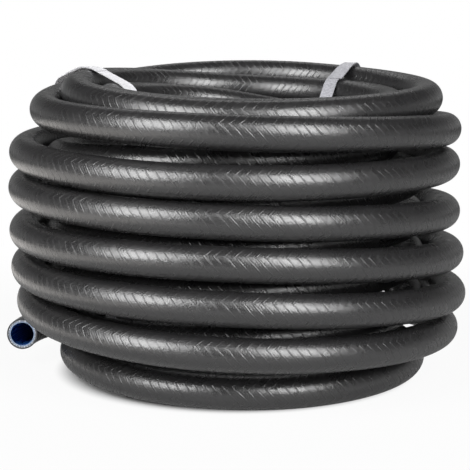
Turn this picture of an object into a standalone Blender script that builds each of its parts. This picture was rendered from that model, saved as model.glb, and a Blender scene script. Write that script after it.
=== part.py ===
"""A coil of reinforced garden hose, tied with two straps.

The hose is one continuous length, wound anticlockwise as seen from above.
It starts inside the bundle at floor level, climbs as the middle layer, makes
one open ring inside the top, then steps outwards and comes down as the outer
layer.  Each end is left free beyond a strap, as a short chain of links, so
that it can be bent.

The hose wall is three separate sleeves: cover, braid and liner.
The origin is on the coil's axis at floor level, +Z is up, units are metres.
"""

import math

import bmesh
import bpy
from mathutils import Vector

# ---- Hose section --------------------------------------------------------

HOSE_R = 0.0126
BORE_R = 0.0095
SLEEVE_GAP = 0.0003
COVER_WALL = 0.0012
BRAID_WALL = 0.0005
SIDES = 6

BRAID_OUTER_R = HOSE_R - COVER_WALL - SLEEVE_GAP
LINER_OUTER_R = BRAID_OUTER_R - BRAID_WALL - SLEEVE_GAP

SLEEVES = {
    "cover": (HOSE_R, HOSE_R - COVER_WALL),
    "braid": (BRAID_OUTER_R, BRAID_OUTER_R - BRAID_WALL),
    "liner": (LINER_OUTER_R, BORE_R),
}

# ---- Winding -------------------------------------------------------------

BASE_Z = 0.0136
MIDDLE_R = 0.1417
MIDDLE_Z = 0.0560
MIDDLE_PITCH = 0.0320
STATIONS_PER_TURN = 16
EASING = 0.14

# Corners of the route, as (turn, radius, height): the ring on the floor, then the first climb.
BASE_RING = (
    (0.27, 0.1185, BASE_Z),
    (0.40, 0.1280, BASE_Z),
    (0.48, 0.1302, BASE_Z + 0.0044),
    (0.56, 0.1310, BASE_Z + 0.0044),
    (0.66, 0.1350, BASE_Z + 0.0024),
    (0.75, 0.1415, BASE_Z),
    (1.00, 0.1425, BASE_Z),
    (1.08, 0.1420, BASE_Z),
    (1.45, 0.1372, 0.0450),
    (1.60, 0.1390, 0.0468),
    (1.75, 0.1410, 0.0540),
)
# The open ring inside the top, and the step outwards over it.
TOP_RINGS = (
    (5.75, 0.1385, 0.1825),
    (6.00, 0.1175, 0.1860),
    (6.15, 0.1045, 0.1975),
    (6.30, 0.1015, 0.2150),
    (6.50, 0.0985, 0.2205),
    (6.75, 0.1095, 0.2120),
    (7.00, 0.1268, 0.2140),
    (7.12, 0.1272, 0.2195),
    (7.25, 0.1275, 0.2215),
    (7.38, 0.1265, 0.2310),
    (7.50, 0.1240, 0.2290),
    (7.75, 0.1397, 0.2105),
    (8.00, 0.1545, 0.2215),
    (8.25, 0.1560, 0.2370),
    (8.36, 0.1545, 0.2270),
    (8.50, 0.1475, 0.2135),
)
# The outer end, rising from the floor at the back to the cut at the left.
TAIL = (
    (14.25, 0.1680, 0.0165),
    (14.38, 0.1690, 0.0200),
    (14.60, 0.1800, 0.0320),
)
# Radius and height of the outer layer where it passes right, front and left.
OUTER_RIGHT = (
    (0.1675, 0.1965),
    (0.1670, 0.1700),
    (0.1680, 0.1310),
    (0.1722, 0.0965),
    (0.1750, 0.0640),
    (0.1688, 0.0380),
)
OUTER_FRONT = (
    (0.1690, 0.2045),
    (0.1690, 0.1690),
    (0.1690, 0.1430),
    (0.1690, 0.1145),
    (0.1690, 0.0825),
    (0.1665, 0.0480),
)
OUTER_LEFT = (
    (0.1675, 0.1805),
    (0.1690, 0.1520),
    (0.1690, 0.1170),
    (0.1680, 0.0885),
    (0.1637, 0.0620),
)

# ---- Free ends -----------------------------------------------------------

LINK_GAP = 0.0028
INNER_LINKS = 3
INNER_LINK_ANGLE = 8.0
INNER_FIRST = 112.0 / 360.0
OUTER_LINKS = 3
OUTER_LINK_ANGLE = 5.0
OUTER_LAST = 14.0 + 181.0 / 360.0

# ---- Straps --------------------------------------------------------------

STRAP_WIDTH = 0.0110
STRAP_THICKNESS = 0.0007
STRAP_CLEARANCE = 0.0005
STRAP_SLIDE = 5.0
STRAP_SIDE_ROOM = 0.0010
STRAP_WINDOW = 30
BUNDLE_R = 0.1300
# Direction in plan of each strap's upright plane, and its distance from the coil's axis.
STRAPS = {
    "strap_left": (131.0, 0.0655),
    "strap_right": (65.0, -0.0410),
}
# Twice the area, in square metres, under which three points count as straight.
HULL_BEND = 2.0e-7

# ---- Materials: colour, roughness ----------------------------------------

FINISHES = {
    "cover": ((0.035, 0.035, 0.037), 0.42),
    "braid": ((0.72, 0.73, 0.74), 0.75),
    "liner": ((0.06, 0.14, 0.42), 0.30),
    "strap": ((0.82, 0.83, 0.84), 0.80),
}


def clear_scene():
    """Remove every object that the file opens with."""
    for obj in list(bpy.data.objects):
        bpy.data.objects.remove(obj, do_unlink=True)


def make_material(name):
    """Plain moulded material for one kind of piece."""
    colour, roughness = FINISHES[name]
    material = bpy.data.materials.new(name)
    material.use_nodes = True
    shader = material.node_tree.nodes["Principled BSDF"]
    shader.inputs["Base Color"].default_value = (*colour, 1.0)
    shader.inputs["Roughness"].default_value = roughness
    shader.inputs["Metallic"].default_value = 0.0
    material.diffuse_color = (*colour, 1.0)
    return material


# ---- Centre line of the hose ---------------------------------------------

def winding():
    """Corner points (turn, radius, height) of the route; turn 0 is at +X."""
    points = [*BASE_RING, *TOP_RINGS, *TAIL]
    points += [(1.75 + n, MIDDLE_R, MIDDLE_Z + n * MIDDLE_PITCH) for n in range(1, 4)]
    for n, (right, front) in enumerate(zip(OUTER_RIGHT, OUTER_FRONT)):
        points += [(8.75 + n, *front), (9.00 + n, *right)]
    points += [(9.50 + n, *left) for n, left in enumerate(OUTER_LEFT)]
    return sorted(points)


WINDING = winding()


def between_corners(turn, column):
    """Value of one column of the route, straight from corner to corner."""
    if turn <= WINDING[0][0]:
        return WINDING[0][column]
    for low, high in zip(WINDING, WINDING[1:]):
        if turn <= high[0]:
            share = (turn - low[0]) / (high[0] - low[0])
            return low[column] + share * (high[column] - low[column])
    return WINDING[-1][column]


def eased(turn, column):
    """The same value with its corners rounded, as the mean over EASING turns."""
    steps = 8
    offsets = [(n / steps - 0.5) * EASING for n in range(steps + 1)]
    return sum(between_corners(turn + offset, column) for offset in offsets) / len(offsets)


def centre(turn):
    """Point on the hose's centre line."""
    angle = math.tau * turn
    radius = eased(turn, 1)
    return Vector((radius * math.cos(angle), radius * math.sin(angle), eased(turn, 2)))


def heading(turn):
    """Unit vector along the hose, towards its outer end."""
    step = 0.002
    return (centre(turn + step) - centre(turn - step)).normalized()


def ring(turn, radius, shift=0.0, sides=SIDES):
    """Points of one cross-section, moved by shift along the hose."""
    along = heading(turn)
    sideways = Vector((along.y, -along.x, 0.0)).normalized()
    upwards = sideways.cross(along)
    middle = centre(turn) + shift * along
    points = []
    for n in range(sides):
        angle = math.tau * n / sides
        points.append(middle + radius * (math.cos(angle) * sideways + math.sin(angle) * upwards))
    return points


# ---- Mesh builders -------------------------------------------------------

def add_object(name, mesh, material, origin=None):
    """Link a mesh as a named object, with its origin moved to a joint's axis."""
    mesh.materials.append(material)
    mesh.shade_smooth()
    mesh.set_sharp_from_angle(angle=math.radians(65.0))
    obj = bpy.data.objects.new(name, mesh)
    bpy.context.scene.collection.objects.link(obj)
    if origin is not None:
        for vertex in mesh.vertices:
            vertex.co -= origin
        obj.location = origin
    return obj


def loops_to_mesh(name, loops, return_from=None):
    """Closed body from vertex loops, each joined to the next and the last to the first.

    Loops from return_from on run back along the same way as the first ones.  Their
    faces are split along the same diagonal, so that nested sleeves stay parallel.
    """
    work = bmesh.new()
    rows = [[work.verts.new(point) for point in loop] for loop in loops]
    for index, (row, following) in enumerate(zip(rows, rows[1:] + rows[:1])):
        returning = return_from is not None and index >= return_from
        count = len(row)
        for n in range(count):
            after = (n + 1) % count
            if returning:
                work.faces.new((row[after], following[after], following[n], row[n]))
            else:
                work.faces.new((row[n], row[after], following[after], following[n]))
    bmesh.ops.triangulate(work, faces=work.faces, quad_method="FIXED")
    bmesh.ops.recalc_face_normals(work, faces=work.faces)
    mesh = bpy.data.meshes.new(name)
    work.to_mesh(mesh)
    work.free()
    return mesh


def sleeve(name, turns, radii, material, origin=None, trims=(0.0, 0.0)):
    """Tube along the centre line; trims shorten its first and its last end."""
    shifts = [0.0] * len(turns)
    shifts[0] = trims[0]
    shifts[-1] = -trims[1]
    outer_r, inner_r = radii
    outside = [ring(turn, outer_r, shift) for turn, shift in zip(turns, shifts)]
    inside = [ring(turn, inner_r, shift) for turn, shift in zip(turns, shifts)]
    mesh = loops_to_mesh(name, outside + inside[::-1], len(outside))
    return add_object(name, mesh, material, origin)


# ---- The bundle and its free ends ----------------------------------------

def link_turns(first, count, angle):
    """Turns where the links of a free end begin and end."""
    return [first + n * angle / 360.0 for n in range(count + 1)]


def bundle_turns(first, last):
    """Cross-section turns of the bundle, evenly spaced around every turn."""
    start = math.ceil(first * STATIONS_PER_TURN + 0.2)
    stop = math.floor(last * STATIONS_PER_TURN - 0.2)
    inner = [n / STATIONS_PER_TURN for n in range(start, stop + 1)]
    return [first] + inner + [last]


def build_hose(materials):
    """The wound bundle in three sleeves, and the links of both free ends."""
    outer_first = OUTER_LAST - OUTER_LINKS * OUTER_LINK_ANGLE / 360.0
    inner_end = link_turns(INNER_FIRST, INNER_LINKS, INNER_LINK_ANGLE)
    outer_end = link_turns(outer_first, OUTER_LINKS, OUTER_LINK_ANGLE)
    bundle = bundle_turns(inner_end[-1], outer_end[0])
    half = LINK_GAP / 2.0
    for kind, radii in SLEEVES.items():
        material = materials[kind]
        sleeve(f"{kind}_coil", bundle, radii, material, trims=(half, half))
        for n in range(INNER_LINKS):
            # Numbered from the bundle outwards: each link turns about its bundle end.
            ends = inner_end[INNER_LINKS - 1 - n:INNER_LINKS + 1 - n]
            last = n == INNER_LINKS - 1
            trims = (0.0 if last else half, half)
            sleeve(f"{kind}_inner_end_{n + 1}", ends, radii, material, centre(ends[1]), trims)
        for n in range(OUTER_LINKS):
            ends = outer_end[n:n + 2]
            last = n == OUTER_LINKS - 1
            trims = (half, 0.0 if last else half)
            sleeve(f"{kind}_outer_end_{n + 1}", ends, radii, material, centre(ends[0]), trims)


# ---- Straps --------------------------------------------------------------

def plan_axes(direction):
    """Unit vectors along and across an upright plane with this direction in plan."""
    angle = math.radians(direction)
    return (
        Vector((math.cos(angle), math.sin(angle), 0.0)),
        Vector((-math.sin(angle), math.cos(angle), 0.0)),
    )


def skin_points(azimuth, reach):
    """Points at one distance from the hose's centre, around all strands near an azimuth.

    They follow both the smooth route and the straight facets between its stations.
    """
    points = []
    for step in range(-STRAP_WINDOW, STRAP_WINDOW + 1):
        share = (azimuth + step) / 360.0
        for n in range(math.ceil(INNER_FIRST - share), math.floor(OUTER_LAST - share) + 1):
            turn = share + n
            points += ring(turn, reach, sides=16)
            station = math.floor(turn * STATIONS_PER_TURN)
            low = ring(station / STATIONS_PER_TURN, reach)
            high = ring((station + 1) / STATIONS_PER_TURN, reach)
            between = turn * STATIONS_PER_TURN - station
            points += [start.lerp(end, between) for start, end in zip(low, high)]
    return points


def hull(points):
    """Convex outline of flat points, anticlockwise."""
    ordered = sorted(set(points))
    chains = []
    for run in (ordered, ordered[::-1]):
        chain = []
        for point in run:
            while len(chain) > 1:
                (ax, ay), (bx, by) = chain[-2:]
                if (bx - ax) * (point[1] - ay) - (by - ay) * (point[0] - ax) > HULL_BEND:
                    break
                chain.pop()
            chain.append(point)
        chains += chain[:-1]
    return chains


def strap_outline(direction, standoff, reach):
    """Outline, in the strap's plane, around the bundle at every place it can slide to."""
    skin = skin_points(direction + math.degrees(math.asin(standoff / BUNDLE_R)), reach)
    side_reach = STRAP_WIDTH / 2.0 + STRAP_SIDE_ROOM
    edges = []
    for share in (-1.0, -0.5, 0.0, 0.5, 1.0):
        along, across = plan_axes(direction + share * STRAP_SLIDE)
        for point in skin:
            if abs(point.dot(across) - standoff) < side_reach:
                edges.append((point.dot(along), max(point.z, BASE_Z - reach)))
    return hull(edges)


def offset_outline(outline, distance):
    """Outline moved outwards by the same distance everywhere."""
    moved = []
    count = len(outline)
    for n, point in enumerate(outline):
        before = Vector(point) - Vector(outline[n - 1])
        after = Vector(outline[(n + 1) % count]) - Vector(point)
        out_before = Vector((before.y, -before.x)).normalized()
        out_after = Vector((after.y, -after.x)).normalized()
        middle = (out_before + out_after).normalized()
        moved.append(Vector(point) + middle * (distance / middle.dot(out_before)))
    return moved


def build_strap(name, direction, standoff, material):
    """Flat strap looped once around the whole bundle, in an upright plane."""
    inner = strap_outline(direction, standoff, HOSE_R + STRAP_CLEARANCE)
    outer = offset_outline(inner, STRAP_THICKNESS)
    along, across = plan_axes(direction)

    def placed(outline, side):
        middle = (standoff + side) * across
        return [along * x + Vector((0.0, 0.0, z)) + middle for x, z in outline]

    half = STRAP_WIDTH / 2.0
    loops = [placed(outer, -half), placed(outer, half), placed(inner, half), placed(inner, -half)]
    add_object(name, loops_to_mesh(name, loops), material)


def main():
    """Build every piece of the coil."""
    clear_scene()
    materials = {name: make_material(name) for name in FINISHES}
    build_hose(materials)
    for name, (direction, standoff) in STRAPS.items():
        build_strap(name, direction, standoff, materials["strap"])


main()
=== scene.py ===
"""Looks for the coil of garden hose: cover with its braid relief, cut ends, straps, light and camera."""

import math

import bpy
import numpy as np
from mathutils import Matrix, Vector

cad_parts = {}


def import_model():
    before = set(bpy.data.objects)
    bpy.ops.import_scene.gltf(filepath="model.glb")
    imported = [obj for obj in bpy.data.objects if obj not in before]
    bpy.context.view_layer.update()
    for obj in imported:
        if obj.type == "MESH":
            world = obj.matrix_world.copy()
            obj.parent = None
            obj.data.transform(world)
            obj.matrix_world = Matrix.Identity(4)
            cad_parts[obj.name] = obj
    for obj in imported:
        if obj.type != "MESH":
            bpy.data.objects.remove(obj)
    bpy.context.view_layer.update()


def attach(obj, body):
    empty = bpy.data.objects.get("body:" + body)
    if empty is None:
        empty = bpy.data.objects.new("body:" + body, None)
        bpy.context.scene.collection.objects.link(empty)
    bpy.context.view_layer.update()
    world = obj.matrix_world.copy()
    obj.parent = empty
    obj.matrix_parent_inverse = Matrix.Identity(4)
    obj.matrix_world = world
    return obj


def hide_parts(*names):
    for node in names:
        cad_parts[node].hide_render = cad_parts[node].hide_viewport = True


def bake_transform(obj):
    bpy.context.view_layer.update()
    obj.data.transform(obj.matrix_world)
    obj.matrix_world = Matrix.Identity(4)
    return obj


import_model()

# ---- Hose section, in metres ---------------------------------------------

HOSE_R = 0.0126
BORE_R = 0.0095
# Outer and inner radius of each layer. They touch here; the CAD keeps them 0.3 mm apart.
COVER = (HOSE_R, 0.0115)
BRAID = (0.01148, 0.01042)
LINER = (0.0104, BORE_R)

# ---- Route of the centre line, as in the CAD -----------------------------

BASE_Z = 0.0136
MIDDLE_R = 0.1417
MIDDLE_Z = 0.0560
MIDDLE_PITCH = 0.0320
EASING = 0.14

# Corners of the route, as (turn, radius, height): the ring on the floor, then the first climb.
BASE_RING = (
    (0.27, 0.1185, BASE_Z),
    (0.40, 0.1280, BASE_Z),
    (0.48, 0.1302, BASE_Z + 0.0044),
    (0.56, 0.1310, BASE_Z + 0.0044),
    (0.66, 0.1350, BASE_Z + 0.0024),
    (0.75, 0.1415, BASE_Z),
    (1.00, 0.1425, BASE_Z),
    (1.08, 0.1420, BASE_Z),
    (1.45, 0.1372, 0.0450),
    (1.60, 0.1390, 0.0468),
    (1.75, 0.1410, 0.0540),
)
# The open ring inside the top, and the step outwards over it.
TOP_RINGS = (
    (5.75, 0.1385, 0.1825),
    (6.00, 0.1175, 0.1860),
    (6.15, 0.1045, 0.1975),
    (6.30, 0.1015, 0.2150),
    (6.50, 0.0985, 0.2205),
    (6.75, 0.1095, 0.2120),
    (7.00, 0.1268, 0.2140),
    (7.12, 0.1272, 0.2195),
    (7.25, 0.1275, 0.2215),
    (7.38, 0.1265, 0.2310),
    (7.50, 0.1240, 0.2290),
    (7.75, 0.1397, 0.2105),
    (8.00, 0.1545, 0.2215),
    (8.25, 0.1560, 0.2370),
    (8.36, 0.1545, 0.2270),
    (8.50, 0.1475, 0.2135),
)
# The outer end, rising from the floor at the back to the cut at the left.
TAIL = (
    (14.25, 0.1680, 0.0165),
    (14.38, 0.1690, 0.0200),
    (14.60, 0.1800, 0.0320),
)
MIDDLE_FIRST = 1.75
OUTER_FIRST = 8.75
# Radius and height of the outer layer where it passes right, front and left.
OUTER_RIGHT = (
    (0.1675, 0.1965),
    (0.1670, 0.1700),
    (0.1680, 0.1310),
    (0.1722, 0.0965),
    (0.1750, 0.0640),
    (0.1688, 0.0380),
)
OUTER_FRONT = (
    (0.1690, 0.2045),
    (0.1690, 0.1690),
    (0.1690, 0.1430),
    (0.1690, 0.1145),
    (0.1690, 0.0825),
    (0.1665, 0.0480),
)
OUTER_LEFT = (
    (0.1675, 0.1805),
    (0.1690, 0.1520),
    (0.1690, 0.1170),
    (0.1680, 0.0885),
    (0.1637, 0.0620),
)


def winding():
    """All corners of the route in order, as rows of turn, radius and height."""
    points = [*BASE_RING, *TOP_RINGS, *TAIL]
    points += [(MIDDLE_FIRST + n, MIDDLE_R, MIDDLE_Z + n * MIDDLE_PITCH) for n in range(1, 4)]
    points += [(OUTER_FIRST + n, *front) for n, front in enumerate(OUTER_FRONT)]
    points += [(OUTER_FIRST + 0.25 + n, *right) for n, right in enumerate(OUTER_RIGHT)]
    points += [(OUTER_FIRST + 0.75 + n, *left) for n, left in enumerate(OUTER_LEFT)]
    return np.array(sorted(points))


WINDING = winding()
EASE = (np.arange(9) / 8 - 0.5) * EASING


def eased(turns, column):
    """Radius (column 1) or height (column 2) at each turn value, with the corners rounded off."""
    spread = np.asarray(turns, float)[..., None] + EASE
    return np.interp(spread, WINDING[:, 0], WINDING[:, column]).mean(axis=-1)


def centre(turns):
    turns = np.asarray(turns, float)
    radius, height = eased(turns, 1), eased(turns, 2)
    angle = math.tau * turns
    return np.stack([radius * np.cos(angle), radius * np.sin(angle), height], axis=-1)


TANGENT_REACH = 0.002


def unit(v):
    return v / np.linalg.norm(v, axis=-1, keepdims=True)


def axes(turns):
    """Centre, direction along the hose, outwards and upwards at each turn value."""
    along = unit(centre(turns + TANGENT_REACH) - centre(turns - TANGENT_REACH))
    side = unit(np.stack([along[:, 1], -along[:, 0], np.zeros(len(turns))], axis=-1))
    return centre(turns), along, side, np.cross(side, along)


# Turn values 0.0005 apart over the whole hose, and the length of hose up to each.
FINE = np.linspace(0.30, 14.52, 28441)
LENGTHS = np.concatenate([[0.0], np.cumsum(np.linalg.norm(np.diff(centre(FINE), axis=0), axis=1))])


def length_at(turn):
    return float(np.interp(turn, FINE, LENGTHS))


def turns_between(first, last, step):
    """Turn values from first to last, evenly spaced along the hose."""
    a, b = length_at(first), length_at(last)
    count = max(2, round((b - a) / step) + 1)
    return np.interp(np.linspace(a, b, count), LENGTHS, FINE)


# ---- Relief of the braid through the cover -------------------------------

# Distance between strokes along the hose, and number of bands around it in which they lean in turn.
PITCH = 0.0067
BANDS = 6
BAND_SHIFT = 1.67
BAND_START = 36.0 / 360.0
RELIEF = 0.00003


def relief(s, v):
    """Height of the cover over a smooth round hose; s along it, v the share of the way around."""
    zig = np.abs((((v - BAND_START) * BANDS / 2.0) % 1.0) * 2.0 - 1.0)
    phase = s / PITCH + BAND_SHIFT * zig
    return RELIEF * np.cos(math.tau * phase) - RELIEF


# ---- Mesh building -------------------------------------------------------

def to_mesh(name, points, faces, maps, materials, slots=None, sharp=38.0):
    """New object from points (n,3), faces (m,4) of indices and maps {uv layer: (m,4,2)}."""
    mesh = bpy.data.meshes.new(name)
    count = len(faces)
    mesh.vertices.add(len(points))
    mesh.vertices.foreach_set("co", np.ascontiguousarray(points, np.float32).ravel())
    mesh.loops.add(count * 4)
    mesh.loops.foreach_set("vertex_index", np.ascontiguousarray(faces, np.int32).ravel())
    mesh.polygons.add(count)
    mesh.polygons.foreach_set("loop_start", np.arange(0, count * 4, 4, dtype=np.int32))
    for layer, values in maps.items():
        flat = np.ascontiguousarray(values, np.float32).ravel()
        mesh.uv_layers.new(name=layer).data.foreach_set("uv", flat)
    for material in materials:
        mesh.materials.append(material)
    if slots is not None:
        mesh.polygons.foreach_set("material_index", np.ascontiguousarray(slots, np.int32))
    mesh.update(calc_edges=True)
    mesh.validate()
    mesh.shade_smooth()
    mesh.set_sharp_from_angle(angle=math.radians(sharp))
    obj = bpy.data.objects.new(name, mesh)
    bpy.context.scene.collection.objects.link(obj)
    return obj


def grid_faces(rows, columns, closed_rows):
    """Quads of a grid that closes around its columns, and around its rows if asked."""
    last = rows if closed_rows else rows - 1
    i, j = np.meshgrid(np.arange(last), np.arange(columns), indexing="ij")
    a = i * columns + j
    b = i * columns + (j + 1) % columns
    c = ((i + 1) % rows) * columns + (j + 1) % columns
    d = ((i + 1) % rows) * columns + j
    return np.stack([a, b, c, d], axis=-1).reshape(-1, 4)


def corners(u0, u1, v0, v1):
    """Texture coordinates of the four corners of each face of a grid."""
    pairs = ((u0, v0), (u0, v1), (u1, v1), (u1, v0))
    return np.stack([np.stack(pair, -1) for pair in pairs], axis=2).reshape(-1, 4, 2)


RIM_SHARES = (0.03, 0.12, 0.35, 0.65, 0.88, 0.97)
RIM_EDGE = 0.12
RIM_LIFT = 0.00012


def cut_face(middle, along, ring, angle, radii):
    """Rings from the outer to the inner edge of a cut end, a little uneven and with its edges broken."""
    outer_r, inner_r = radii
    wave = 0.00010 * np.sin(2 * angle + 0.7) + 0.00005 * np.sin(5 * angle + 2.1)
    rims = []
    for share in RIM_SHARES:
        r = outer_r - share * (outer_r - inner_r)
        edge = min(share, 1.0 - share)
        drop = RIM_LIFT * (1.0 - edge / RIM_EDGE) if edge < RIM_EDGE else 0.0
        rims.append(middle + r * ring + (wave + RIM_LIFT - drop)[:, None] * along)
    return rims


# Length of hose that each ring of a cut face stands for in the texture, and the bake layout's sizes.
RIM_STEP = 0.0002
REST_STRIP = 0.4
STRIP_MARGIN = 0.02


def tube_bake(i, v0, v1, rows, n, strips):
    """Bake layout: the outside, rows 0 to n, folded into strips, and all else in one thin strip."""
    per = math.ceil((n - 1) / strips)
    wall = i < n - 1
    strip = np.minimum(i // per, strips - 1)
    local = i - strip * per
    rest_step = 1.0 / max(rows - n + 1, 1)
    rest = np.maximum(i - (n - 1), 0) * rest_step
    u0 = np.where(wall, local / per, rest)
    u1 = np.where(wall, (local + 1) / per, rest + rest_step)
    base = np.where(wall, strip, strips) + STRIP_MARGIN
    high = np.where(wall, 1.0, REST_STRIP) - 2.0 * STRIP_MARGIN
    total = strips + REST_STRIP
    return corners(u0, u1, (base + high * v0) / total, (base + high * v1) / total)


def tube(name, turns, radii, around, materials, detail=0.0, strips=1, cuts=(False, False), skip=8):
    """Closed sleeve along the hose; cuts says which of its two ends are open to view."""
    outer_r, inner_r = radii
    middle, along, side, up = axes(turns)
    s = np.interp(turns, FINE, LENGTHS)
    v = np.arange(around) / around
    angle = math.tau * v
    ring = np.cos(angle)[None, :, None] * side[:, None] + np.sin(angle)[None, :, None] * up[:, None]
    radius = np.full((len(turns), around), outer_r)
    if detail:
        radius += detail * relief(s[:, None], v[None, :])
    outside = middle[:, None] + radius[..., None] * ring
    keep = np.unique(np.concatenate([np.arange(0, len(turns), skip), [len(turns) - 1]]))
    inside = (middle[:, None] + inner_r * ring)[keep]
    first_rims = cut_face(middle[0], -along[0], ring[0], angle, radii) if cuts[0] else []
    last_rims = cut_face(middle[-1], along[-1], ring[-1], angle, radii) if cuts[1] else []
    # Rows of the closed grid: out along the outside, over the last end, back inside, over the first end.
    order = [*outside, *last_rims, *inside[::-1], *first_rims[::-1]]
    points = np.concatenate(order)
    rows = len(order)
    n = len(turns)
    end_s = s[-1] + RIM_STEP * np.arange(1, len(last_rims) + 1)
    start_s = s[0] - RIM_STEP * np.arange(len(first_rims), 0, -1)
    row_s = np.concatenate([s, end_s, s[keep][::-1], start_s])
    i, j = np.meshgrid(np.arange(rows), np.arange(around), indexing="ij")
    v0, v1 = j / around, (j + 1) / around
    hose = corners(row_s[i], row_s[(i + 1) % rows], v0, v1)
    slots = None
    if len(materials) > 1:
        cut_rows = np.zeros((rows, around), int)
        if cuts[1]:
            cut_rows[n - 1:n + len(last_rims)] = 1
        if cuts[0]:
            cut_rows[n + len(last_rims) + len(keep) - 1:] = 1
        slots = cut_rows.ravel()
    maps = {"hose": hose, "OFBake": tube_bake(i, v0, v1, rows, n, strips)}
    return to_mesh(name, points, grid_faces(rows, around, True), maps, materials, slots)


# ---- Materials -----------------------------------------------------------

class Nodes:
    """Short way to write one material's node tree."""

    def __init__(self, name):
        self.material = bpy.data.materials.new(name)
        self.material.use_nodes = True
        self.tree = self.material.node_tree
        self.shader = self.tree.nodes["Principled BSDF"]
        self.place = self.add("ShaderNodeTexCoord").outputs["Object"]

    def add(self, kind, **inputs):
        node = self.tree.nodes.new(kind)
        for key, value in inputs.items():
            self.put(node, key, value)
        return node

    def put(self, node, key, value):
        """Sets or links one input; the key is its name, or i and its number."""
        numbered = key[0] == "i" and key[1:].isdigit()
        socket = node.inputs[int(key[1:]) if numbered else key.replace("_", " ")]
        if isinstance(value, bpy.types.NodeSocket):
            self.tree.links.new(value, socket)
        else:
            socket.default_value = value

    def math(self, operation, a, b=0.0, c=0.0):
        node = self.add("ShaderNodeMath", i0=a, i1=b)
        node.operation = operation
        if operation == "MULTIPLY_ADD":
            self.put(node, "i2", c)
        return node.outputs[0]

    def noise(self, scale, detail=2.0, rough=0.5, vector=None):
        node = self.add("ShaderNodeTexNoise", Scale=scale, Detail=detail, Roughness=rough)
        self.put(node, "Vector", self.place if vector is None else vector)
        return node.outputs["Fac"]

    def stripes(self, value):
        """Distance from the middle of each unit of value: 0 there, 0.5 at the ends of the unit."""
        return self.math("ABSOLUTE", self.math("SUBTRACT", self.math("FRACT", value), 0.5))

    def hose(self):
        """Metres along the hose, and share of the way around it."""
        node = self.tree.nodes.new("ShaderNodeUVMap")
        node.uv_map = "hose"
        split = self.add("ShaderNodeSeparateXYZ", Vector=node.outputs[0])
        return split.outputs[0], split.outputs[1]

    def ramp(self, value, low, high, to_low=0.0, to_high=1.0, smooth=True):
        """Value from low to high, turned into to_low to to_high and held there outside."""
        node = self.add("ShaderNodeMapRange", Value=value)
        node.interpolation_type = "SMOOTHSTEP" if smooth else "LINEAR"
        self.put(node, "From_Min", low)
        self.put(node, "From_Max", high)
        self.put(node, "To_Min", to_low)
        self.put(node, "To_Max", to_high)
        return node.outputs[0]

    def mix(self, share, a, b):
        node = self.tree.nodes.new("ShaderNodeMix")
        node.data_type = "RGBA"
        for socket, value in ((node.inputs[0], share), (node.inputs[6], a), (node.inputs[7], b)):
            if isinstance(value, bpy.types.NodeSocket):
                self.tree.links.new(value, socket)
            else:
                socket.default_value = (*value, 1.0) if isinstance(value, tuple) else value
        return node.outputs[2]

    def finish(self, colour, roughness, height=None, **others):
        """Sets the surface, with height in metres as bump, and gives the material."""
        self.put(self.shader, "Base_Color", colour)
        self.put(self.shader, "Roughness", roughness)
        if height is not None:
            bump = self.add("ShaderNodeBump", Strength=1.0, Distance=1.0, Height=height)
            self.put(self.shader, "Normal", bump.outputs[0])
        for key, value in others.items():
            self.put(self.shader, key, value)
        return self.material


# Threads in each strand of the braid, and depths of the cover's relief in metres.
THREADS = 3.0
GROOVE_DEPTH = 0.00010
LIP_HEIGHT = 0.00002
THREAD_DEPTH = 0.000016
GRAIN_HEIGHT = 0.000012
DENT_HEIGHT = 0.00010
MOTTLE_HEIGHT = 0.00022


def cover_material():
    """Dark satin rubber; the braid's strokes press through it, deeper in some places than in others."""
    n = Nodes("cover_rubber")
    s, v = n.hose()
    wander = n.noise(95.0, 2.0)
    zig = n.math("PINGPONG", n.math("MULTIPLY", n.math("SUBTRACT", v, BAND_START), float(BANDS)), 1.0)
    zig = n.math("SUBTRACT", 1.0, zig)
    phase = n.math("ADD", n.math("DIVIDE", s, PITCH), n.math("MULTIPLY", zig, BAND_SHIFT))
    phase = n.math("ADD", phase, n.math("MULTIPLY", wander, 0.30))
    far = n.stripes(phase)
    groove = n.ramp(far, 0.355, 0.49)
    lip = n.math("MULTIPLY", n.ramp(far, 0.22, 0.34), n.ramp(far, 0.46, 0.36))
    thread = n.ramp(n.stripes(n.math("MULTIPLY", phase, THREADS)), 0.1, 0.5)
    depth = n.ramp(n.noise(75.0, 2.0), 0.34, 0.66, 0.30, 1.30, smooth=False)
    grain = n.noise(2600.0, 2.0, 0.6)
    dents = n.noise(160.0, 2.0, 0.5)
    mottle = n.noise(520.0, 3.0, 0.7)
    height = n.math("MULTIPLY", groove, -GROOVE_DEPTH)
    height = n.math("MULTIPLY_ADD", lip, LIP_HEIGHT, height)
    height = n.math("MULTIPLY_ADD", thread, -THREAD_DEPTH, height)
    height = n.math("MULTIPLY", height, depth)
    height = n.math("MULTIPLY_ADD", grain, GRAIN_HEIGHT, height)
    height = n.math("MULTIPLY_ADD", dents, DENT_HEIGHT, height)
    height = n.math("MULTIPLY_ADD", mottle, MOTTLE_HEIGHT, height)
    cloud = n.noise(18.0, 3.0, 0.6)
    colour = n.mix(cloud, (0.0095, 0.0095, 0.0102), (0.0150, 0.0145, 0.0145))
    # Painted shade: the cover is painted darker in the grooves of the braid's strokes.
    colour = n.mix(n.math("MULTIPLY", groove, 0.5), colour, (0.006, 0.006, 0.007))
    dust = n.ramp(n.noise(700.0, 3.0, 0.7), 0.66, 0.80)
    colour = n.mix(n.math("MULTIPLY", dust, 0.10), colour, (0.12, 0.115, 0.11))
    rough = n.ramp(n.noise(90.0, 3.0, 0.6), 0.3, 0.7, 0.24, 0.33, smooth=False)
    rough = n.math("MULTIPLY_ADD", groove, 0.12, rough)
    return n.finish(colour, rough, height, IOR=1.5, Specular_IOR_Level=0.85)


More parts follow.
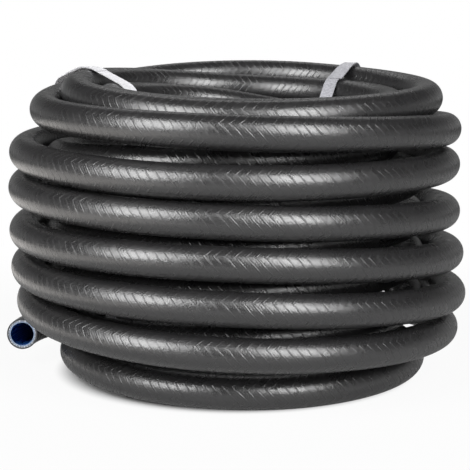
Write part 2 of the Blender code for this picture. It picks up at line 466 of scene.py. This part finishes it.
def cover_cut_material():
    """Dull, scratched cut face of the cover."""
    n = Nodes("cover_rubber_cut")
    scratch = n.noise(1400.0, 3.0, 0.7)
    colour = n.mix(scratch, (0.020, 0.021, 0.023), (0.055, 0.057, 0.062))
    return n.finish(colour, 0.6, n.math("MULTIPLY", scratch, 0.00006))


YARNS = 10.0
YARN_ENDS = 30.0


def braid_material():
    """Clear grey layer with crossed white yarns in it."""
    n = Nodes("braid_yarns")
    s, v = n.hose()
    yarns = []
    for way in (1.0, -1.0):
        turn = n.math("MULTIPLY_ADD", v, YARNS * way, n.math("DIVIDE", s, PITCH))
        yarns.append(n.ramp(n.stripes(turn), 0.19, 0.12))
    yarn = n.math("MAXIMUM", yarns[0], yarns[1])
    twist = n.noise(1800.0, 2.0, 0.6)
    colour = n.mix(yarn, (0.30, 0.32, 0.36), (0.74, 0.75, 0.77))
    colour = n.mix(n.math("MULTIPLY", twist, 0.4), colour, (0.50, 0.52, 0.55))
    height = n.math("MULTIPLY_ADD", yarn, 0.00008, n.math("MULTIPLY", twist, 0.00003))
    return n.finish(colour, n.ramp(yarn, 0.0, 1.0, 0.35, 0.75), height)


def braid_cut_material():
    """Cut face of the yarn layer: yarn ends as pale flecks in grey, glassy plastic."""
    n = Nodes("braid_yarns_cut")
    around = n.hose()[1]
    jitter = n.noise(420.0, 2.0, 0.6)
    ends = n.math("MULTIPLY_ADD", jitter, 1.6, n.math("MULTIPLY", around, YARN_ENDS))
    patchy = n.ramp(n.noise(600.0, 2.0), 0.42, 0.58)
    fleck = n.math("MULTIPLY", n.ramp(n.stripes(ends), 0.26, 0.12), patchy)
    cloud = n.noise(300.0, 2.0, 0.6)
    colour = n.mix(cloud, (0.12, 0.135, 0.16), (0.25, 0.27, 0.31))
    colour = n.mix(fleck, colour, (0.60, 0.62, 0.66))
    rough_cut = n.math("MULTIPLY", n.noise(1500.0, 2.0), 0.00005)
    height = n.math("MULTIPLY_ADD", fleck, 0.00012, rough_cut)
    return n.finish(colour, n.ramp(fleck, 0.0, 1.0, 0.28, 0.7), height)


def liner_material():
    """Smooth blue plastic with faint flow lines along the hose."""
    n = Nodes("liner_blue")
    s, v = n.hose()
    streak = n.add("ShaderNodeCombineXYZ", X=n.math("MULTIPLY", s, 8.0), Y=n.math("MULTIPLY", v, 60.0))
    flow = n.noise(1.0, 2.0, 0.5, streak.outputs[0])
    colour = n.mix(flow, (0.012, 0.060, 0.235), (0.020, 0.095, 0.330))
    height = n.math("MULTIPLY", flow, 0.00004)
    return n.finish(colour, n.ramp(flow, 0.0, 1.0, 0.20, 0.32), height)


def liner_cut_material():
    """Paler, scuffed cut face of the liner."""
    n = Nodes("liner_blue_cut")
    scuff = n.noise(900.0, 3.0, 0.7)
    colour = n.mix(scuff, (0.14, 0.21, 0.34), (0.30, 0.37, 0.48))
    return n.finish(colour, n.ramp(scuff, 0.0, 1.0, 0.35, 0.6), n.math("MULTIPLY", scuff, 0.00005))


# Distance between the ribs of the tape in metres, and number of warp lines across it.
STRAP_RIB = 0.00075
STRAP_WARPS = 14.0
STRAP_GLOW = (0.02, 0.02, 0.02)


def strap_material(name, dark, pale, through):
    """Woven tape: fine ribs across, warp lines along; through is the share of light it lets pass."""
    n = Nodes(name)
    s, v = n.hose()
    rib = n.ramp(n.stripes(n.math("DIVIDE", s, STRAP_RIB)), 0.0, 0.5, 1.0, 0.0)
    warps = n.math("MULTIPLY", v, STRAP_WARPS)
    warp = n.ramp(n.stripes(warps), 0.0, 0.5, 1.0, 0.0)
    half = n.math("MULTIPLY", n.math("FLOOR", warps), 0.5)
    weave = n.ramp(n.stripes(n.math("ADD", n.math("DIVIDE", s, STRAP_RIB * 2.0), half)), 0.12, 0.38)
    cell = n.math("MULTIPLY", n.math("MULTIPLY", rib, warp), n.math("MULTIPLY_ADD", weave, 0.6, 0.4))
    fuzz = n.ramp(n.noise(800.0, 3.0, 0.7), 0.36, 0.64)
    stain = n.noise(60.0, 3.0, 0.6)
    colour = n.mix(cell, dark, pale)
    colour = n.mix(n.ramp(stain, 0.45, 0.75, 0.0, 0.30), colour, dark)
    colour = n.mix(n.math("MULTIPLY", fuzz, 0.55), colour, pale)
    height = n.math("MULTIPLY_ADD", cell, 0.00010, n.math("MULTIPLY", fuzz, 0.00003))
    return n.finish(colour, 0.72, height, Sheen_Weight=0.25,
                    Subsurface_Weight=through, Subsurface_Radius=STRAP_GLOW)


# Distances from the coil's axis over which the floor starts to glow, and then fades to full white.
FLOOR_INSIDE = (0.130, 0.150)
FLOOR_FADE = (0.25, 0.70)
FLOOR_WHITE = 0.94


def floor_material():
    """Pale floor that fades into the white backdrop away from the object."""
    n = Nodes("floor_white")
    n.finish(n.mix(n.noise(3.0), (0.38, 0.38, 0.38), (0.40, 0.40, 0.40)), 0.9)
    length = n.add("ShaderNodeVectorMath", i0=n.place)
    length.operation = "LENGTH"
    far = length.outputs["Value"]
    glow = n.add("ShaderNodeEmission", Color=(1.0, 1.0, 1.0, 1.0), Strength=1.0)
    rays = n.add("ShaderNodeLightPath").outputs["Is Camera Ray"]
    outside = n.math("MULTIPLY", rays, n.ramp(far, *FLOOR_INSIDE))
    share = n.math("MULTIPLY", outside, n.ramp(far, *FLOOR_FADE, FLOOR_WHITE, 1.0))
    mix = n.add("ShaderNodeMixShader", i0=share)
    out = n.tree.nodes["Material Output"]
    n.tree.links.new(n.shader.outputs[0], mix.inputs[1])
    n.tree.links.new(glow.outputs[0], mix.inputs[2])
    n.tree.links.new(mix.outputs[0], out.inputs[0])
    return n.material


COVER_SKIN = cover_material()
COVER_CUT = cover_cut_material()
BRAID_SKIN = braid_material()
BRAID_CUT = braid_cut_material()
LINER_SKIN = liner_material()
LINER_CUT = liner_cut_material()
STRAP_CLOTHS = {
    "strap_left": strap_material("strap_white", (0.34, 0.34, 0.355), (0.62, 0.62, 0.64), 0.2),
    # Painted shade: the right strap's tape is a darker copy of the left's.
    "strap_right": strap_material("strap_painted_shade", (0.09, 0.09, 0.10), (0.40, 0.40, 0.43), 0.0),
}

# Radii of each layer with the materials of its skin and its cut, and its sides at the free ends.
LAYERS = {
    "cover": (COVER, [COVER_SKIN, COVER_CUT]),
    "braid": (BRAID, [BRAID_SKIN, BRAID_CUT]),
    "liner": (LINER, [LINER_SKIN, LINER_CUT]),
}
END_AROUND = {"cover": 64, "braid": 40, "liner": 40}

# ---- The wound hose ------------------------------------------------------

INNER_LINK = 8.0 / 360.0
OUTER_LINK = 5.0 / 360.0
INNER_FIRST = 112.0 / 360.0
INNER_START = INNER_FIRST + 3.5 * INNER_LINK
OUTER_LAST = 14.0 + 181.0 / 360.0
OUTER_START = OUTER_LAST - 3.5 * OUTER_LINK

FINE_STEP = 0.00125
PLAIN_STEP = 0.0030
HIDDEN_STEP = 0.012
END_STEP = 0.0011
# The cover of these turns is hardly seen, so it is plainer.
HIDDEN_TURNS = (1.2, 5.2)
SEEN_AROUND = 48
HIDDEN_AROUND = 32
INSIDE_AROUND = 16
COVER_STRIPS = 4
INSIDE_STRIPS = 14


def wound():
    """The hose between its free ends: the cover in pieces of one turn, yarns and liner in one piece each."""
    cuts = [INNER_START] + [n + 0.25 for n in range(1, 14)] + [OUTER_START]
    for n, (first, last) in enumerate(zip(cuts, cuts[1:]), start=1):
        hidden = HIDDEN_TURNS[0] < first < HIDDEN_TURNS[1]
        turns = turns_between(first, last, PLAIN_STEP if hidden else FINE_STEP)
        around = HIDDEN_AROUND if hidden else SEEN_AROUND
        obj = tube(f"cover_turn_{n:02d}", turns, COVER, around, [COVER_SKIN], 1.0, COVER_STRIPS)
        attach(obj, "coil")
        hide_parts("cover_coil")
    turns = turns_between(INNER_START, OUTER_START, HIDDEN_STEP)
    for kind in ("braid", "liner"):
        radii, materials = LAYERS[kind]
        obj = tube(f"{kind}_wound", turns, radii, INSIDE_AROUND, materials[:1], strips=INSIDE_STRIPS, skip=1)
        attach(obj, "coil")
        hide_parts(f"{kind}_coil")


def free_end(side, edges, bodies):
    """Pieces from the bundle to the cut; each one but the last lies between two bodies and is attached to
    none, the last one rides.
    """
    for kind, (radii, materials) in LAYERS.items():
        for n, (a, b) in enumerate(zip(edges, edges[1:]), start=1):
            last = n == len(edges) - 1
            name = f"{kind}_{side}_tip" if last else f"{kind}_{side}_bend_{n}"
            turns = turns_between(min(a, b), max(a, b), END_STEP)
            detail = 1.0 if kind == "cover" else 0.0
            cuts = (last and b < a, last and b > a)
            obj = tube(name, turns, radii, END_AROUND[kind], materials, detail, 1, cuts, skip=3)
            if last:
                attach(obj, bodies[-1])
                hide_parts(f"{kind}_{bodies[-1]}")
            else:
                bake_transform(obj)
                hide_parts(f"{kind}_{bodies[n]}")


wound()
free_end("outer", [OUTER_START + n * OUTER_LINK for n in range(4)] + [OUTER_LAST],
         ["coil"] + [f"outer_end_{n}" for n in range(1, 4)])
free_end("inner", [INNER_START - n * INNER_LINK for n in range(4)] + [INNER_FIRST],
         ["coil"] + [f"inner_end_{n}" for n in range(1, 4)])

# ---- Straps --------------------------------------------------------------

STRAP_WIDTH = 0.0110
STRAP_THICKNESS = 0.0007
STRAP_REACH = HOSE_R + 0.0005
STRAP_SLIDE = 5.0
BUNDLE_R = 0.1300
# The CAD's hose has this many straight pieces in a turn, and this many sides.
STATIONS_PER_TURN = 16
CAD_SIDES = 6
SKIN_SIDES = 48
STRAP_WINDOW = 30.0
PATH_STEP = 0.0020
# Direction in plan of each strap's upright plane, and its distance from the coil's axis.
STRAPS = {"strap_left": (131.0, 0.0655), "strap_right": (65.0, -0.0410)}


def plan_axes(direction):
    """Unit vectors in plan, along a direction in degrees and across it."""
    angle = math.radians(direction)
    c, s = math.cos(angle), math.sin(angle)
    return np.array([c, s, 0.0]), np.array([-s, c, 0.0])


def rings(turns, sides):
    """Points around the hose where a strap's inner face may lie."""
    middle, along, side, up = axes(turns)
    angle = math.tau * np.arange(sides) / sides
    circle = np.cos(angle)[None, :, None] * side[:, None] + np.sin(angle)[None, :, None] * up[:, None]
    return middle[:, None] + STRAP_REACH * circle


def skin_points(azimuth):
    """Points just off the hose near an azimuth, on its smooth route and on the CAD's straight facets."""
    share = (azimuth + np.arange(-STRAP_WINDOW, STRAP_WINDOW + 0.5, 0.5)) / 360.0
    turns = (share[:, None] + np.arange(0, 15)[None]).ravel()
    turns = turns[(turns >= INNER_FIRST) & (turns <= OUTER_LAST)]
    station = np.floor(turns * STATIONS_PER_TURN)
    low = rings(station / STATIONS_PER_TURN, CAD_SIDES)
    high = rings((station + 1) / STATIONS_PER_TURN, CAD_SIDES)
    facets = low + (turns * STATIONS_PER_TURN - station)[:, None, None] * (high - low)
    return np.concatenate([rings(turns, SKIN_SIDES).reshape(-1, 3), facets.reshape(-1, 3)])


def hull(points):
    """Convex outline of points in a plane."""
    ordered = sorted(set(points))
    chains = []
    for run in (ordered, ordered[::-1]):
        chain = []
        for x, y in run:
            while len(chain) > 1:
                (ax, ay), (bx, by) = chain[-2:]
                if (bx - ax) * (y - ay) - (by - ay) * (x - ax) > 1.0e-9:
                    break
                chain.pop()
            chain.append((x, y))
        chains += chain[:-1]
    return np.array(chains)


def strap_outline(direction, standoff):
    """Taut outline of a strap in its plane, clear of the hose over the whole of its slide."""
    skin = skin_points(direction + math.degrees(math.asin(standoff / BUNDLE_R)))
    edges = []
    for share in (-1.0, -0.5, 0.0, 0.5, 1.0):
        along, across = plan_axes(direction + share * STRAP_SLIDE)
        near = skin[np.abs(skin @ across - standoff) < STRAP_WIDTH / 2.0 + 0.001]
        edges.append(np.stack([near @ along, np.maximum(near[:, 2], BASE_Z - STRAP_REACH)], axis=-1))
    return hull([tuple(point) for point in np.round(np.concatenate(edges), 6).tolist()])


def resample(outline, step):
    """Points evenly spaced around a closed outline, and the distance along it of each."""
    closed = np.vstack([outline, outline[:1]])
    lengths = np.concatenate([[0.0], np.cumsum(np.linalg.norm(np.diff(closed, axis=0), axis=1))])
    count = round(lengths[-1] / step)
    at = np.arange(count) * lengths[-1] / count
    points = np.stack([np.interp(at, lengths, closed[:, 0]), np.interp(at, lengths, closed[:, 1])], axis=-1)
    return points, at


def soften(points, passes):
    """Rounds the corners of a closed path."""
    for _ in range(passes):
        points = 0.5 * points + 0.25 * (np.roll(points, 1, axis=0) + np.roll(points, -1, axis=0))
    return points


ACROSS = 9
RIBBON_STRIPS = 8


def ribbon(name, cloth, path, out, across, at, closed, lift=0.0, shift=0.0):
    """Band of cloth over a path in the strap's plane; out is each point's outward direction."""
    share = np.linspace(-1.0, 1.0, ACROSS)
    edge = np.abs(share) ** 6
    top = STRAP_THICKNESS * (0.86 + 0.14 * edge)
    sway = 0.00035 * np.sin(at * 23.0 + 1.3) + 0.0002 * np.sin(at * 61.0)
    offset = (shift + sway)[:, None] + share[None] * STRAP_WIDTH / 2.0
    rows = path[:, None] + out[:, None] * lift + offset[..., None] * across
    outer = rows + out[:, None] * top[None, :, None]
    section = np.concatenate([outer, rows[:, ::-1]], axis=1)
    count = section.shape[1]
    points = section.reshape(-1, 3)
    faces = grid_faces(len(path), count, closed)
    last = len(path) if closed else len(path) - 1
    i, j = np.meshgrid(np.arange(last), np.arange(count), indexing="ij")
    position = np.concatenate([(share + 1) / 2, (share[::-1] + 1) / 2])
    hose = corners(at[i], at[i] + at[1] - at[0], position[j], position[(j + 1) % count])
    per = math.ceil(last / RIBBON_STRIPS)
    strip = i // per
    u0 = (i - strip * per) / per
    base = strip + STRIP_MARGIN
    high = 1.0 - 2.0 * STRIP_MARGIN
    v0 = (base + high * j / count) / RIBBON_STRIPS
    v1 = (base + high * (j + 1) / count) / RIBBON_STRIPS
    bake = corners(u0, u0 + 1.0 / per, v0, v1)
    if not closed:
        ends = []
        for base in (0, (len(path) - 1) * count):
            for k in range(ACROSS - 1):
                quad = [base + k, base + k + 1, base + count - 2 - k, base + count - 1 - k]
                ends.append(quad if base else quad[::-1])
        faces = np.vstack([faces, ends])
        flat = np.zeros((len(ends), 4, 2))
        hose = np.concatenate([hose, flat + 0.3])
        bake = np.concatenate([bake, flat + 0.999])
    return to_mesh(name, points, faces, {"hose": hose, "OFBake": bake}, [cloth], sharp=50.0)


def build_strap(name, before, after, shift):
    """One strap, with a lap from some steps before its highest point to some after, moved sideways."""
    direction, standoff = STRAPS[name]
    cloth = STRAP_CLOTHS[name]
    along, across = plan_axes(direction)
    up = np.array([0.0, 0.0, 1.0])
    flat, at = resample(strap_outline(direction, standoff), PATH_STEP)
    flat = soften(flat, 3)
    path = flat[:, :1] * along + flat[:, 1:] * up + standoff * across
    tangent = unit(np.roll(flat, -1, axis=0) - np.roll(flat, 1, axis=0))
    out = tangent[:, 1:] * along - tangent[:, :1] * up
    obj = ribbon(f"{name}_band", cloth, path, out, across, at, True)
    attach(obj, name)
    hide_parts(name)
    top = int(np.argmax(flat[:, 1]))
    picked = np.arange(top - before, top + after) % len(path)
    run = np.arange(len(picked)) * PATH_STEP
    lap = ribbon(f"{name}_lap_1", cloth, path[picked], out[picked], across, run, False,
                 STRAP_THICKNESS, shift)
    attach(lap, name)


build_strap("strap_left", before=14, after=10, shift=0.0006)
build_strap("strap_right", before=14, after=21, shift=-0.0023)

# ---- Stage, light and camera ---------------------------------------------

FLOOR_SIZE = 30.0


def floor():
    half = FLOOR_SIZE / 2.0
    points = [(-half, -half, 0.0), (half, -half, 0.0), (half, half, 0.0), (-half, half, 0.0)]
    flat = np.zeros((1, 4, 2))
    obj = to_mesh("floor", np.array(points), np.array([[0, 1, 2, 3]]), {"hose": flat}, [floor_material()])


AIM_HEIGHT = 0.1
PANEL_HEIGHT = 0.002


def area_light(name, width, height, radiance):
    """Rectangular light that the camera doesn't see, not placed yet."""
    light = bpy.data.lights.new(name, "AREA")
    light.shape = "RECTANGLE"
    light.size = width
    light.size_y = height
    light.energy = radiance * math.pi * width * height
    obj = bpy.data.objects.new(name, light)
    obj.visible_camera = False
    bpy.context.scene.collection.objects.link(obj)
    return obj


def soft_box(name, azimuth, elevation, distance, width, height, radiance):
    """Soft box aimed at the coil; azimuth 0 is the camera's side, positive to the right."""
    obj = area_light(name, width, height, radiance)
    a, e = math.radians(azimuth), math.radians(elevation)
    away = Vector((math.sin(a) * math.cos(e), -math.cos(a) * math.cos(e), math.sin(e)))
    obj.location = away * distance + Vector((0.0, 0.0, AIM_HEIGHT))
    obj.rotation_mode = "QUATERNION"
    obj.rotation_quaternion = away.to_track_quat("Z", "Y")


def low_panel(name, azimuth, distance, depth, width, radiance):
    """Warm, glowing panel that lies on the floor beside the coil and fills its underside."""
    obj = area_light(name, width, depth, radiance)
    obj.data.color = (1.0, 0.95, 0.90)
    a = math.radians(azimuth)
    obj.location = (math.sin(a) * distance, -math.cos(a) * distance, PANEL_HEIGHT)
    obj.rotation_euler = (math.pi, 0.0, a)


# Brightness of the surroundings by height of the direction, from the horizon to straight up.
SKY = ((0.0, 0.42), (0.15, 0.30), (0.36, 0.03), (1.0, 0.02))


def world():
    """Dim studio around the coil, which the camera sees as plain white."""
    sky = bpy.data.worlds.new("studio")
    bpy.context.scene.world = sky
    sky.use_nodes = True
    tree = sky.node_tree
    tree.nodes.clear()
    place = tree.nodes.new("ShaderNodeTexCoord")
    split = tree.nodes.new("ShaderNodeSeparateXYZ")
    tree.links.new(place.outputs["Generated"], split.inputs[0])
    ramp = tree.nodes.new("ShaderNodeValToRGB")
    tree.links.new(split.outputs[2], ramp.inputs[0])
    while len(ramp.color_ramp.elements) < len(SKY):
        ramp.color_ramp.elements.new(0.5)
    for element, (position, value) in zip(ramp.color_ramp.elements, SKY):
        element.position = position
        element.color = (value, value, value, 1.0)
    around = tree.nodes.new("ShaderNodeBackground")
    tree.links.new(ramp.outputs[0], around.inputs[0])
    seen = tree.nodes.new("ShaderNodeBackground")
    seen.inputs[0].default_value = (1.0, 1.0, 1.0, 1.0)
    rays = tree.nodes.new("ShaderNodeLightPath")
    mix = tree.nodes.new("ShaderNodeMixShader")
    tree.links.new(rays.outputs["Is Camera Ray"], mix.inputs[0])
    tree.links.new(around.outputs[0], mix.inputs[1])
    tree.links.new(seen.outputs[0], mix.inputs[2])
    out = tree.nodes.new("ShaderNodeOutputWorld")
    tree.links.new(mix.outputs[0], out.inputs[0])


CAMERA_LENS = 104.4
CAMERA_DISTANCE = 1.1125
CAMERA_DOWN = math.radians(8.6)
CAMERA_AIM_HEIGHT = 0.1086


def camera():
    data = bpy.data.cameras.new("camera")
    data.sensor_width = 36.0
    data.lens = CAMERA_LENS
    data.clip_start = 0.05
    data.clip_end = 100.0
    obj = bpy.data.objects.new("camera", data)
    back = CAMERA_DISTANCE * math.cos(CAMERA_DOWN)
    obj.location = (0.0, -back, CAMERA_AIM_HEIGHT + CAMERA_DISTANCE * math.sin(CAMERA_DOWN))
    obj.rotation_euler = (math.pi / 2 - CAMERA_DOWN, 0.0, 0.0)
    bpy.context.scene.collection.objects.link(obj)
    bpy.context.scene.camera = obj


floor()
soft_box("box_left", azimuth=-47.0, elevation=31.0, distance=2.6, width=1.55, height=2.1, radiance=10.5)
soft_box("box_right", azimuth=33.0, elevation=33.0, distance=2.6, width=1.30, height=2.1, radiance=11.5)
low_panel("panel_left", azimuth=-82.0, distance=0.85, depth=1.1, width=1.5, radiance=1.1)
soft_box("box_back", azimuth=178.0, elevation=38.0, distance=2.6, width=1.8, height=0.7, radiance=1.1)
world()
camera()
bpy.context.scene.view_settings.view_transform = "Standard"
bpy.context.scene.view_settings.look = "None"
